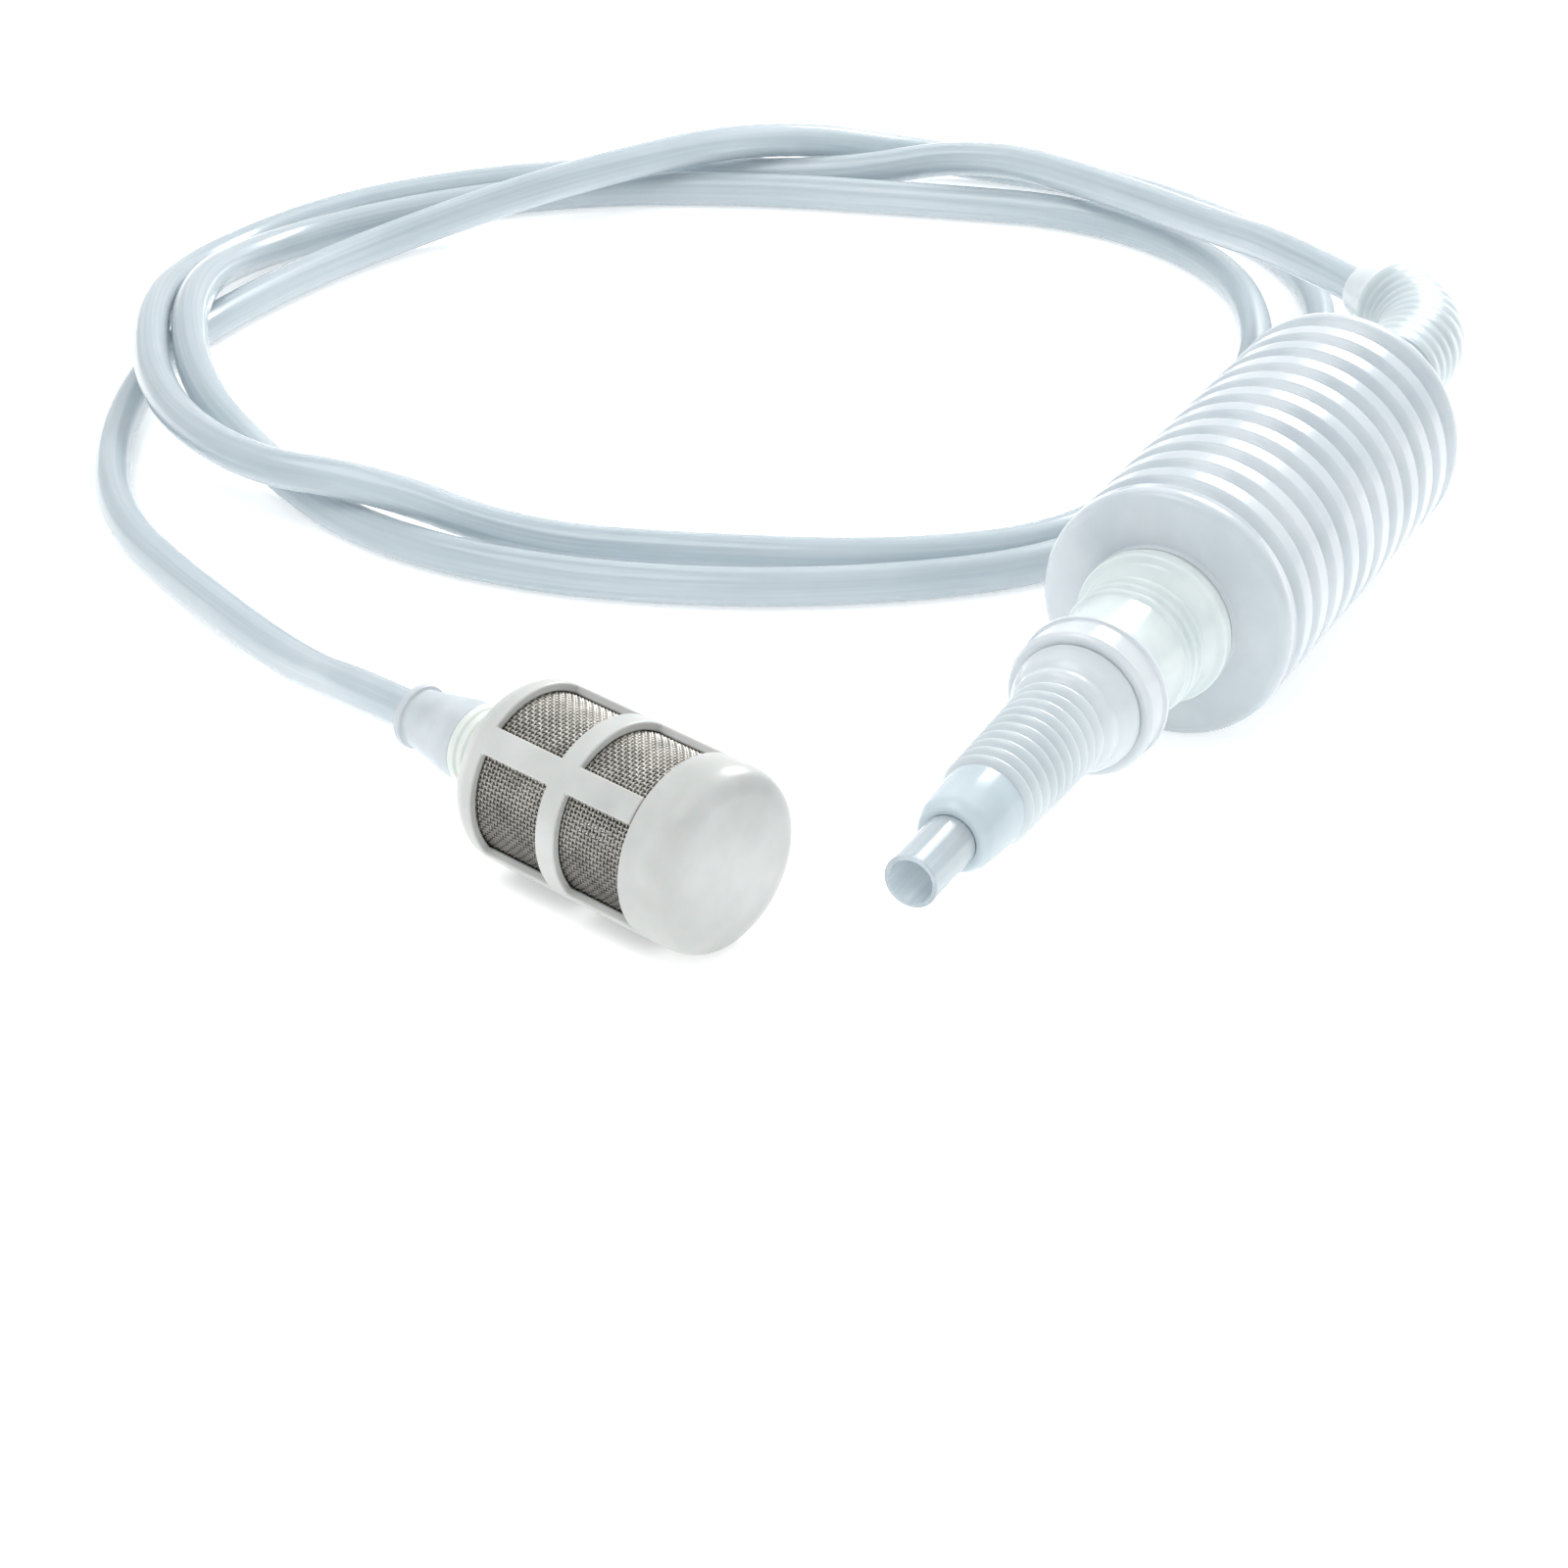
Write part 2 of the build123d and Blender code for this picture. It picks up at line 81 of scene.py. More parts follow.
def gridUv(rows, columns, closeRows, closeColumns, along, around):
    # a cell's corners take the length along its row and the share of the turn of its column
    a = np.append(along, along[-1] + (along[-1] - along[-2]))
    b = np.append(around, 1.0)
    i = np.arange(rows if closeRows else rows - 1)[:, None] + np.array([0, 0, 1, 1])[None, :]
    j = np.arange(columns if closeColumns else columns - 1)[:, None] + np.array([0, 1, 1, 0])[None, :]
    shape = (len(i), len(j), 4)
    return np.stack([np.broadcast_to(b[j][None], shape), np.broadcast_to(a[i][:, None], shape)], -1)


def tidyUp(piece, outward=True):
    # doubled points at poles and seams are joined, and a closed piece's faces turned outward
    work = bmesh.new()
    work.from_mesh(piece.data)
    bmesh.ops.remove_doubles(work, verts=work.verts, dist=1e-7)
    bmesh.ops.dissolve_degenerate(work, edges=work.edges, dist=1e-7)
    if outward:
        bmesh.ops.recalc_face_normals(work, faces=work.faces)
    work.to_mesh(piece.data)
    work.free()
    piece.data.shade_smooth()
    return piece


def rounded(corners, steps=4, closed=True):
    # corners are (along, radius, rounding) in mm; each one gives way to the curve
    # (1-t)^2 a + 2t(1-t) p + t^2 b, where a and b lie its rounding away on the two sides, but never
    # more than 0.43 of the way to the next corner
    c = np.array(corners, float)
    p, rounding = c[:, :2], c[:, 2]
    back, on = np.roll(p, 1, 0) - p, np.roll(p, -1, 0) - p
    if not closed:
        back[0], on[-1] = on[0], back[-1]
        rounding = rounding * np.r_[0, np.ones(len(p) - 2), 0]
    lengthBack, lengthOn = np.hypot(*back.T), np.hypot(*on.T)
    cut = np.minimum(rounding, 0.43 * np.minimum(lengthBack, lengthOn))
    a, b = p + back * (cut / lengthBack)[:, None], p + on * (cut / lengthOn)[:, None]
    t = np.linspace(0, 1, steps + 1)[None, :, None]
    curve = (1 - t) ** 2 * a[:, None] + 2 * t * (1 - t) * p[:, None] + t ** 2 * b[:, None]
    first = a + back * (cut * 0.15 / lengthBack)[:, None]      # a short run each side keeps the flats flat
    last = b + on * (cut * 0.15 / lengthOn)[:, None]
    return np.concatenate([first[:, None], curve, last[:, None]], 1).reshape(-1, 2)


def lathed(name, along, radius, origin, axis, sides=144, closed=True):
    # the grid point (i, j) is origin + axis * along + radius * (cos a, sin a) across the axis, in mm;
    # along and radius are one value per row, or one per row and column
    axis = np.array(axis, float)
    u = np.cross((0, 0, 1), axis)
    u /= np.linalg.norm(u)
    w = np.cross(axis, u)
    a = np.arange(sides) / sides * 2 * pi
    along, radius = (v if v.ndim == 2 else v[:, None] * np.ones(sides) for v in (along, radius))
    ring = np.cos(a)[:, None] * u + np.sin(a)[:, None] * w
    points = np.array(origin, float) + along[..., None] * axis + radius[..., None] * ring
    rows = len(along)
    step = np.hypot(np.diff(along[:, 0]), np.diff(radius[:, 0]))
    lengths = np.r_[0, np.cumsum(step)] * mm
    uv = gridUv(rows, sides, closed, True, lengths, a / (2 * pi))
    return tidyUp(addMesh(name, points * mm, gridFaces(rows, sides, closed, True), uv))


def turnedPiece(name, corners, origin, axis, sides=144, closed=True):
    profile = rounded(corners, closed=closed)
    return lathed(name, profile[:, 0], profile[:, 1], origin, axis, sides, closed)


def tubeAlong(name, centres, tangents, outer, inner, sides=40):
    # out along the outside and back along the bore: centre + r * (cos a * side + sin a * rise), the
    # side being level and square to the tangent; the two ends are flat rings
    side = np.cross((0, 0, 1), tangents)
    side /= np.linalg.norm(side, axis=1)[:, None]
    rise = np.cross(tangents, side)
    c = np.concatenate([centres, centres[::-1]])
    s = np.concatenate([side, side[::-1]])
    w = np.concatenate([rise, rise[::-1]])
    r = np.concatenate([outer * np.ones(len(centres)), inner * np.ones(len(centres))])
    a = np.arange(sides) / sides * 2 * pi
    cosA, sinA = np.cos(a)[None, :, None], np.sin(a)[None, :, None]
    points = c[:, None] + r[:, None, None] * (cosA * s[:, None] + sinA * w[:, None])
    length = np.r_[0, np.cumsum(np.linalg.norm(np.diff(centres, axis=0), axis=1))]
    uv = gridUv(len(c), sides, True, True, np.concatenate([length, length[::-1]]), a / (2 * pi))
    return tidyUp(addMesh(name, points, gridFaces(len(c), sides, True, True), uv))


def finish(name, settings, streaks=False):
    # cloudy colour from two noises, roughness that wanders with the cloud, and a fine moulded bump;
    # streaks are drawn out along the piece's own length
    material = bpy.data.materials.new(name)
    material.use_nodes = True
    nodes, links = material.node_tree.nodes, material.node_tree.links
    shader = nodes["Principled BSDF"]
    for socket, value in settings["shader"].items():
        shader.inputs[socket].default_value = value
    place = nodes.new("ShaderNodeTexCoord")
    cloud = nodes.new("ShaderNodeTexNoise")
    cloud.inputs["Scale"].default_value = settings["cloudScale"]
    cloud.inputs["Detail"].default_value = 4
    links.new(place.outputs["Object"], cloud.inputs["Vector"])
    grain = nodes.new("ShaderNodeTexNoise")
    grain.inputs["Scale"].default_value = settings["grainScale"]
    grain.inputs["Detail"].default_value = 3
    links.new(place.outputs["Object"], grain.inputs["Vector"])
    ramp = nodes.new("ShaderNodeValToRGB")
    ramp.color_ramp.elements[0].position, ramp.color_ramp.elements[0].color = 0.32, (*settings["dark"], 1)
    ramp.color_ramp.elements[1].position, ramp.color_ramp.elements[1].color = 0.68, (*settings["light"], 1)
    height = grain.outputs["Fac"]
    tone = cloud.outputs["Fac"]
    if streaks:
        own = nodes.new("ShaderNodeUVMap")
        own.uv_map = "uvAlong"
        stretch = nodes.new("ShaderNodeMapping")
        stretch.inputs["Scale"].default_value = settings["streakScale"]
        links.new(own.outputs["UV"], stretch.inputs["Vector"])
        streak = nodes.new("ShaderNodeTexNoise")
        streak.inputs["Scale"].default_value = 1
        streak.inputs["Detail"].default_value = 2
        links.new(stretch.outputs["Vector"], streak.inputs["Vector"])
        blendTone = nodes.new("ShaderNodeMix")
        blendTone.inputs["Factor"].default_value = settings["streakShare"]
        links.new(cloud.outputs["Fac"], blendTone.inputs["A"])
        links.new(streak.outputs["Fac"], blendTone.inputs["B"])
        tone = blendTone.outputs["Result"]
        blendHeight = nodes.new("ShaderNodeMix")
        blendHeight.inputs["Factor"].default_value = 0.6
        links.new(grain.outputs["Fac"], blendHeight.inputs["A"])
        links.new(streak.outputs["Fac"], blendHeight.inputs["B"])
        height = blendHeight.outputs["Result"]
    links.new(tone, ramp.inputs["Fac"])
    colour = ramp.outputs["Color"]
    if "shade" in settings:        # painted shade: the colour is multiplied darker toward the floor, from one height down to another
        apart = nodes.new("ShaderNodeSeparateXYZ")
        links.new(place.outputs["Object"], apart.inputs["Vector"])
        low = nodes.new("ShaderNodeMapRange")
        low.inputs["From Min"].default_value = settings["shadeFrom"]
        low.inputs["From Max"].default_value = settings["shadeTo"]
        links.new(apart.outputs["Z"], low.inputs["Value"])
        shaded = nodes.new("ShaderNodeMix")
        shaded.data_type, shaded.blend_type = "RGBA", "MULTIPLY"
        shaded.inputs["B"].default_value = (settings["shade"],) * 3 + (1,)
        links.new(low.outputs["Result"], shaded.inputs["Factor"])
        links.new(colour, shaded.inputs["A"])
        colour = shaded.outputs["Result"]
    links.new(colour, shader.inputs["Base Color"])
    wander = nodes.new("ShaderNodeMapRange")
    wander.inputs["To Min"].default_value, wander.inputs["To Max"].default_value = settings["roughness"]
    links.new(tone, wander.inputs["Value"])
    links.new(wander.outputs["Result"], shader.inputs["Roughness"])
    bump = nodes.new("ShaderNodeBump")
    bump.inputs["Strength"].default_value = settings["bump"]
    bump.inputs["Distance"].default_value = settings["bumpDepth"]
    links.new(height, bump.inputs["Height"])
    links.new(bump.outputs["Normal"], shader.inputs["Normal"])
    return material


softPe = {"cloudScale": 60, "grainScale": 1400, "dark": (0.58, 0.645, 0.69), "light": (0.71, 0.765, 0.80),
          "roughness": (0.16, 0.30), "bump": 0.12, "bumpDepth": 0.00008,
          "shader": {"IOR": 1.5, "Subsurface Weight": 0.3, "Subsurface Scale": 0.0012,
                     "Subsurface Radius": (0.9, 1.0, 1.1), "Transmission Weight": 0.15,
                     "Coat Weight": 0.25, "Coat Roughness": 0.12}}
spoutPe = dict(softPe, dark=(0.62, 0.69, 0.725), light=(0.75, 0.81, 0.835))
elbowPe = dict(softPe, dark=(0.49, 0.565, 0.60), light=(0.60, 0.675, 0.70), roughness=(0.30, 0.42))
neckPe = dict(softPe, dark=(0.70, 0.79, 0.79), light=(0.83, 0.90, 0.89), cloudScale=90)
capClear = dict(softPe, dark=(0.65, 0.715, 0.75), light=(0.79, 0.835, 0.86), roughness=(0.10, 0.22))
tipClear = dict(softPe, dark=(0.56, 0.66, 0.71), light=(0.68, 0.78, 0.83),
                shader={"IOR": 1.42, "Transmission Weight": 0.2, "Coat Weight": 0.2, "Coat Roughness": 0.12})
cageWhite = {"cloudScale": 70, "grainScale": 1800, "dark": (0.49, 0.505, 0.49), "light": (0.60, 0.615, 0.60),
             "roughness": (0.30, 0.44), "bump": 0.18, "bumpDepth": 0.00006,
             "shader": {"IOR": 1.5, "Subsurface Weight": 0.15, "Subsurface Scale": 0.002}}
nippleWhite = dict(cageWhite, dark=(0.62, 0.68, 0.64), light=(0.76, 0.81, 0.77))
vinyl = {"cloudScale": 35, "grainScale": 900, "dark": (0.61, 0.70, 0.75), "light": (0.79, 0.86, 0.90),
         "roughness": (0.14, 0.30), "bump": 0.15, "bumpDepth": 0.00010,
         "streakScale": (26, 14, 1), "streakShare": 0.65,
         "shader": {"IOR": 1.38, "Transmission Weight": 0.5, "Coat Weight": 0.5, "Coat Roughness": 0.06}}
sleeveRubber = {"cloudScale": 120, "grainScale": 1600, "dark": (0.47, 0.52, 0.55), "light": (0.58, 0.63, 0.66),
                "roughness": (0.32, 0.46), "bump": 0.2, "bumpDepth": 0.00006,
                "shader": {"IOR": 1.45, "Subsurface Weight": 0.2, "Subsurface Scale": 0.002}}
gasketRubber = {"cloudScale": 150, "grainScale": 2000, "dark": (0.50, 0.52, 0.52), "light": (0.62, 0.64, 0.64),
                "roughness": (0.45, 0.6), "bump": 0.25, "bumpDepth": 0.00005, "shader": {"IOR": 1.45}}
valveSilicone = dict(gasketRubber, dark=(0.66, 0.55, 0.46), light=(0.76, 0.66, 0.58))
# the steel wire carries painted shade: from a height of 0.027 m down to 0.010 m its colour is multiplied down to
# 0.3
steelWire = {"cloudScale": 220, "grainScale": 3000, "dark": (0.36, 0.35, 0.32), "light": (0.62, 0.60, 0.55),
             "roughness": (0.30, 0.50), "bump": 0.2, "bumpDepth": 0.00002,
             "shadeFrom": 0.027, "shadeTo": 0.010, "shade": 0.3, "shader": {"Metallic": 0.6, "IOR": 1.5}}

finishes = {
    "bulb": finish("milkyBulb", softPe),
    "spout": finish("milkySpout", spoutPe),
    "elbow": finish("milkyElbow", elbowPe),
    "tip": finish("clearTip", tipClear),
    "neck": finish("frostedNeck", neckPe),
    "cap": finish("clearCap", capClear),
    "cage": finish("strainerWhite", cageWhite),
    "nipple": finish("nippleWhite", nippleWhite),
    "hose": finish("clearVinyl", vinyl, streaks=True),
    "sleeve": finish("greySleeve", sleeveRubber),
    "gasket": finish("gasketRubber", gasketRubber),
    "silicone": finish("valveSilicone", valveSilicone),
    "wire": finish("steelWire", steelWire),
}


def place(piece, material, body, slot, *nodes):
    # a new piece gets its finish, its body and the nodes that it stands for
    piece.data.materials.append(finishes[material])
    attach(piece, body)
    if nodes:
        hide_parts(*nodes)


def dressNode(node, material):
    # a node that stays visible as it is only changes its finish
    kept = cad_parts[node].data.materials
    kept.clear()
    kept.append(finishes[material])


# the hose runs from the strainer to the elbow; its points are in metres
hose = {
    "radius": 0.004, "bore": 0.003, "length": 2.068,
    "start": [(-0.13614, 0.09606, 0.0175), (-0.12848, 0.12278, 0.0175)],
    "lead": [(-0.109, 0.152, 0.0065), (-0.087, 0.191, 0.004), (-0.068, 0.223, 0.004), (-0.036, 0.246, 0.004),
             (0.004, 0.261, 0.004), (0.046, 0.2585, 0.004), (0.088, 0.248, 0.004), (0.118, 0.220, 0.0125),
             (0.160, 0.191, 0.0139), (0.1865, 0.157, 0.004), (0.191, 0.110, 0.004), (0.172, 0.060, 0.004),
             (0.131, 0.033, 0.004)],
    "firstTurn": [(0.082, 0.0315, 0.004), (0.036, 0.031, 0.004), (0.003, 0.042, 0.004), (-0.020, 0.066, 0.004),
                  (-0.040, 0.100, 0.004), (-0.051, 0.138, 0.004), (-0.050, 0.174, 0.004), (-0.036, 0.203, 0.004),
                  (-0.023, 0.233, 0.013), (0.018, 0.262, 0.0145), (0.062, 0.2715, 0.005), (0.098, 0.255, 0.004),
                  (0.128, 0.227, 0.004), (0.148, 0.190, 0.004), (0.160, 0.152, 0.004), (0.172, 0.110, 0.004),
                  (0.157, 0.069, 0.004), (0.120, 0.0455, 0.004)],
    "secondTurn": [(0.080, 0.040, 0.004), (0.040, 0.0395, 0.004), (0.0095, 0.0475, 0.004), (-0.012, 0.0742, 0.004),
                   (-0.027, 0.110, 0.004), (-0.038, 0.144, 0.004), (-0.045, 0.175, 0.013), (-0.050, 0.203, 0.013),
                   (-0.031, 0.238, 0.013), (0.009, 0.266, 0.0135), (0.052, 0.281, 0.004), (0.094, 0.270, 0.004),
                   (0.126, 0.244, 0.004), (0.150, 0.210, 0.004), (0.163, 0.176, 0.004), (0.175, 0.140, 0.013),
                   (0.167, 0.102, 0.013), (0.148, 0.069, 0.017)],
    "end": [(0.12612, 0.04435, 0.025), (0.10962, 0.01577, 0.025)],
}
route = hose["start"] + hose["lead"] + hose["firstTurn"] + hose["secondTurn"] + hose["end"]
routeCurve = bpy.data.curves.new("hoseRoute", "CURVE")
routeCurve.dimensions = "3D"
spline = routeCurve.splines.new("NURBS")
spline.points.add(len(route) - 1)
spline.points.foreach_set("co", np.c_[np.array(route), np.ones(len(route))].ravel())
spline.order_u = 3
spline.use_endpoint_u = True
spline.resolution_u = 12
routeObject = bpy.data.objects.new("hoseRoute", routeCurve)
bpy.context.collection.objects.link(routeObject)
lineMesh = bpy.data.meshes.new_from_object(routeObject)
hoseLine = np.empty(len(lineMesh.vertices) * 3)
lineMesh.vertices.foreach_get("co", hoseLine)
hoseLine = hoseLine.reshape(-1, 3)
bpy.data.meshes.remove(lineMesh)
bpy.data.objects.remove(routeObject)
hoseTangents = np.gradient(hoseLine, axis=0)
hoseTangents /= np.linalg.norm(hoseTangents, axis=1)[:, None]
hosePiece = tubeAlong("hoseTube", hoseLine, hoseTangents, hose["radius"], hose["bore"])
place(hosePiece, "hose", "inlet_end", "hose_vinyl", "hose")
print("hose laid:", len(hoseLine), "points on its line")


# pump bulb; its sizes and those of the turned pieces are in mm
bulb = {"radius": 25.0, "length": 93.0, "wall": 1.2, "ribs": 12, "crest": 4.4, "depth": 1.7,
        "dish": 1.8, "shoulder": 4.2, "collarRadius": 15.0, "collar": 2.55, "mouth": 13.3, "axisHeight": 25.0}
half = bulb["length"] / 2


def bulbSkin(x):
    # flat crests, and between them valleys: depth * (0.5 + 0.5 cos(pi off)) ^ 0.8, where off is 0 in the
    # middle of a valley and 1 half a millimetre past its edge
    step = (bulb["length"] - bulb["crest"]) / (bulb["ribs"] - 1)
    valley = step - bulb["crest"]
    middleOfValley = -half + bulb["crest"] + valley / 2
    nearest = np.clip(np.round((x - middleOfValley) / step), 0, bulb["ribs"] - 2)
    off = np.abs(x - middleOfValley - nearest * step) / (valley / 2 + 0.5)
    notch = np.where(off < 1, (0.5 + 0.5 * np.cos(pi * np.minimum(off, 1))) ** 0.8, 0)
    return bulb["radius"] - bulb["depth"] * notch


b = bulb
x = np.linspace(-half + b["shoulder"] + 0.1, half - b["shoulder"] - 0.1, b["ribs"] * 24)
skin = np.c_[x, bulbSkin(x)]
inner = half + b["dish"] - b["wall"]
shoulder = rounded([(half - b["shoulder"], b["radius"], 0), (half, b["radius"], 2.0),
                    (half + b["dish"], b["collarRadius"], 0.8), (half + b["collar"], b["collarRadius"], 0.35),
                    (half + b["collar"], b["mouth"], 0.3), (inner, b["mouth"], 0.2),
                    (inner - 0.1, b["mouth"] + b["wall"], 0.6),
                    (half - b["wall"], b["radius"] - b["wall"], 0.8),
                    (half - b["shoulder"], b["radius"] - b["wall"], 0)], closed=False)
lining = skin[::-2] - (0, b["wall"])       # every second row is enough inside
mirror = shoulder[::-1] * (-1, 1)
bulbProfile = np.concatenate([skin, shoulder, lining, mirror])
bulbPiece = lathed("bulbRibs", bulbProfile[:, 0], bulbProfile[:, 1], (0, 0, b["axisHeight"]), (1, 0, 0), 160)
bulbPiece.data.materials.append(finishes["bulb"])
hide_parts("bellows_bulb")
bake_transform(bulbPiece)
print("bulb done")


# valve housings and screw caps, with lengths measured outward from the bulb's rim
housing = {"plug": 13.0, "plugDepth": 6.0, "flange": 15.3, "flangeStart": 3.75, "flangeEnd": 6.25,
           "neck": 12.4, "ridge": 0.75, "pitch": 3.0, "bore": 9.5}
capShape = {"length": 7.6, "mouth": 14.75, "bead": 1.2, "face": 13.5, "top": 1.6, "hole": 11.5, "inside": 13.05}
pumpEnds = {"outlet": {"side": -1, "neckEnd": 35.4, "capFace": 39.5, "threadStart": 9.6, "threadEnd": 19.2},
            "inlet": {"side": 1, "neckEnd": 10.9, "capFace": 15.0, "threadStart": 7.4, "threadEnd": 10.2}}


def threadedNeck(name, end):
    # the neck's radius gains ridge * bump, where turns = along / pitch - angle / (2 pi) and bump is
    # (1.5 * (0.5 + 0.5 cos(2 pi turns)) - 0.5) ^ 0.7, no lower than 0; it fades over half a pitch at both ends
    h = housing
    side, neckEnd = end["side"], end["neckEnd"]
    sides = 160
    taper = h["flangeEnd"] + min(4.5, (neckEnd - h["flangeEnd"]) / 3)
    body = rounded([(-h["plugDepth"], h["bore"], 0.3), (-h["plugDepth"], h["plug"] - 0.8, 0.3),
                    (-h["plugDepth"] + 0.8, h["plug"], 0.3), (h["flangeStart"], h["plug"], 0.1),
                    (h["flangeStart"], h["flange"], 0.5), (h["flangeEnd"], h["flange"], 0.5),
                    (h["flangeEnd"] + 0.8, h["neck"] + 1.3, 0.7), (taper, h["neck"], 1.2),
                    (taper + 0.4, h["neck"], 0)], closed=False)
    run = np.linspace(taper + 0.6, neckEnd - 0.6, 150)
    lip = rounded([(neckEnd - 0.5, h["neck"], 0), (neckEnd, h["neck"], 0.3), (neckEnd, h["bore"], 0.2),
                   (neckEnd - 1, h["bore"], 0)], closed=False)
    profile = np.concatenate([body, np.c_[run, run * 0 + h["neck"]], lip])
    angle = np.arange(sides) / sides
    turns = profile[:, :1] / h["pitch"] - side * angle[None]
    bump = np.clip(1.5 * (0.5 + 0.5 * np.cos(2 * pi * turns)) - 0.5, 0, 1) ** 0.7
    fromStart, toEnd = profile[:, :1] - end["threadStart"], end["threadEnd"] - profile[:, :1]
    fade = np.clip(fromStart / (h["pitch"] / 2), 0, 1) * np.clip(toEnd / (h["pitch"] / 2), 0, 1)
    onNeck = np.abs(profile[:, 1:] - h["neck"]) < 0.02
    radius = profile[:, 1:] + h["ridge"] * bump * fade * onNeck
    along = profile[:, :1] * np.ones(sides)
    return lathed(name, along, radius, (side * half, 0, bulb["axisHeight"]), (side, 0, 0), sides)


for name, end in pumpEnds.items():
    body = name + "_end"
    side, capFace = end["side"], end["capFace"]
    neck = threadedNeck(name + "ThreadedNeck", end)
    place(neck, "neck", body, "housing_plastic", name + "_valve_housing")
    c = capShape
    start = capFace - c["length"]
    cap = turnedPiece(name + "Cap", [
        (start, c["inside"], 0.15), (start, c["mouth"], 0.45), (start + c["bead"], c["mouth"], 0.45),
        (start + c["bead"] + 0.1, c["mouth"] - 0.5, 0.4), (capFace - 1.5, c["face"] + 0.6, 0.3),
        (capFace - 1.1, c["face"] + 0.95, 0.4), (capFace, c["face"] + 0.35, 0.5), (capFace, c["hole"], 0.3),
        (capFace - c["top"], c["hole"], 0.2), (capFace - c["top"], c["inside"], 0.3)],
        (side * half, 0, bulb["axisHeight"]), (side, 0, 0))
    place(cap, "cap", body, "cap_plastic", name + "_screw_cap")
    dressNode(name + "_seal", "gasket")
    dressNode(name + "_cap_gasket", "gasket")
    dressNode(name + "_valve_disc", "silicone")
    dressNode(name + "_valve_stop", "neck")
print("necks and caps done")


# spout and elbow are one kind of moulding, with lengths from the rim again
corrugated = {"waist": 11.3, "flange": 12.4, "cone": 12.6, "coneLength": 12.0, "crest": 9.5, "groove": 1.3,
              "pitch": 3.1, "rings": 9, "shrink": 0.07, "bore": 6.7}


def ringWave(distance, pitch):
    # 1 on a ring's crest and 0 in its groove: (0.5 - 0.5 cos(2 pi d / pitch)) ^ 0.75, which broadens the crest
    return (0.5 - 0.5 * np.cos(2 * pi * distance / pitch)) ** 0.75


def rootCorners(face):
    # flange under the cap, waist through the cap's hole, and the foot of the cone
    k = corrugated
    return [(face - 3.1, k["waist"] - 1.2, 0.2), (face - 3.1, k["flange"], 0.2), (face - 1.6, k["flange"], 0.2),
            (face - 1.6, k["waist"], 0.1), (face + 0.2, k["waist"], 0.1), (face + 0.2, k["cone"] - 0.2, 0.4)]


def coneRun(face, crest, pitch):
    # from the foot to the first ring the radius falls as 0.5 + 0.5 cos(pi u^0.9), with u running 0 to 1, and
    # rings of the same pitch rise out of it, their depth growing as ((u - 0.2) / 0.8) ^ 1.3
    k = corrugated
    s = np.linspace(face + 0.9, face + k["coneLength"], 90)
    u = (s - face) / k["coneLength"]
    base = crest + (k["cone"] - 0.1 - crest) * (0.5 + 0.5 * np.cos(pi * u ** 0.9))
    depth = k["groove"] * np.clip((u - 0.2) / 0.8, 0, 1) ** 1.3
    return np.c_[s, base - depth * (1 - ringWave(s - face - k["coneLength"], pitch))]


k = corrugated
face = pumpEnds["outlet"]["capFace"]
origin = (-half, 0, bulb["axisHeight"])
cone = coneRun(face, k["crest"], k["pitch"])
ringsFrom = face + k["coneLength"]
rings = np.linspace(0.05, k["rings"] * k["pitch"], k["rings"] * 20)
ringTop = k["crest"] - k["shrink"] * rings / k["pitch"]
spoutProfile = np.concatenate([
    rounded(rootCorners(face) + [(*cone[0], 0)], closed=False)[:-1], cone,
    np.c_[ringsFrom + rings, ringTop - k["groove"] * (1 - ringWave(rings, k["pitch"]))],
    [(ringsFrom + rings[-1], k["bore"]), (ringsFrom, k["bore"])]])
spoutPiece = lathed("spoutRings", spoutProfile[:, 0], spoutProfile[:, 1], origin, (-1, 0, 0))
spoutPiece.data.materials.append(finishes["spout"])
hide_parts("outlet_spout")
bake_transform(spoutPiece)

# sleeve and stub tube, with lengths from the rim too
tipSleeve = turnedPiece("tipSleeve", [
    (79.5, 6.7, 0.2), (79.5, 8.0, 0.5), (86.0, 7.9, 2.4), (91.2, 7.3, 2.2), (93.2, 6.2, 0.6), (93.2, 4.85, 0.3),
    (83.2, 4.85, 0.1), (83.2, 4.0, 0.1)], origin, (-1, 0, 0))
place(tipSleeve, "tip", "spout_tip", "sleeve_rubber", "outlet_tip_sleeve")
stub = turnedPiece("stubTube", [
    (83.2, 4.8, 0.1), (93.3, 4.8, 0.1), (93.6, 5.0, 0.1), (108.7, 5.0, 0.3), (108.7, 4.0, 0.3), (83.2, 4.0, 0.1)],
    origin, (-1, 0, 0), sides=96)
place(stub, "hose", "spout_tip", "hose_vinyl", "outlet_stub_tube")

elbow = {"straightEnd": 85.5, "bend": 26.0, "angle": 60.0, "rings": 11, "groove": 0.25, "crest": 9.7, "bore": 6.7}


def elbowLine(length):
    # straight along the pump to where the bend starts, then an arc toward the coil: at the angle
    # a = past / bend it stands at (start + bend sin a, bend (1 - cos a)) and heads along (cos a, sin a)
    e = elbow
    a = np.clip((length - e["straightEnd"]) / e["bend"], 0, radians(e["angle"]))
    straight = np.minimum(length, e["straightEnd"])
    centre = np.c_[straight + e["bend"] * np.sin(a), e["bend"] * (1 - np.cos(a)), a * 0 + bulb["axisHeight"]]
    return centre, np.c_[np.cos(a), np.sin(a), a * 0]


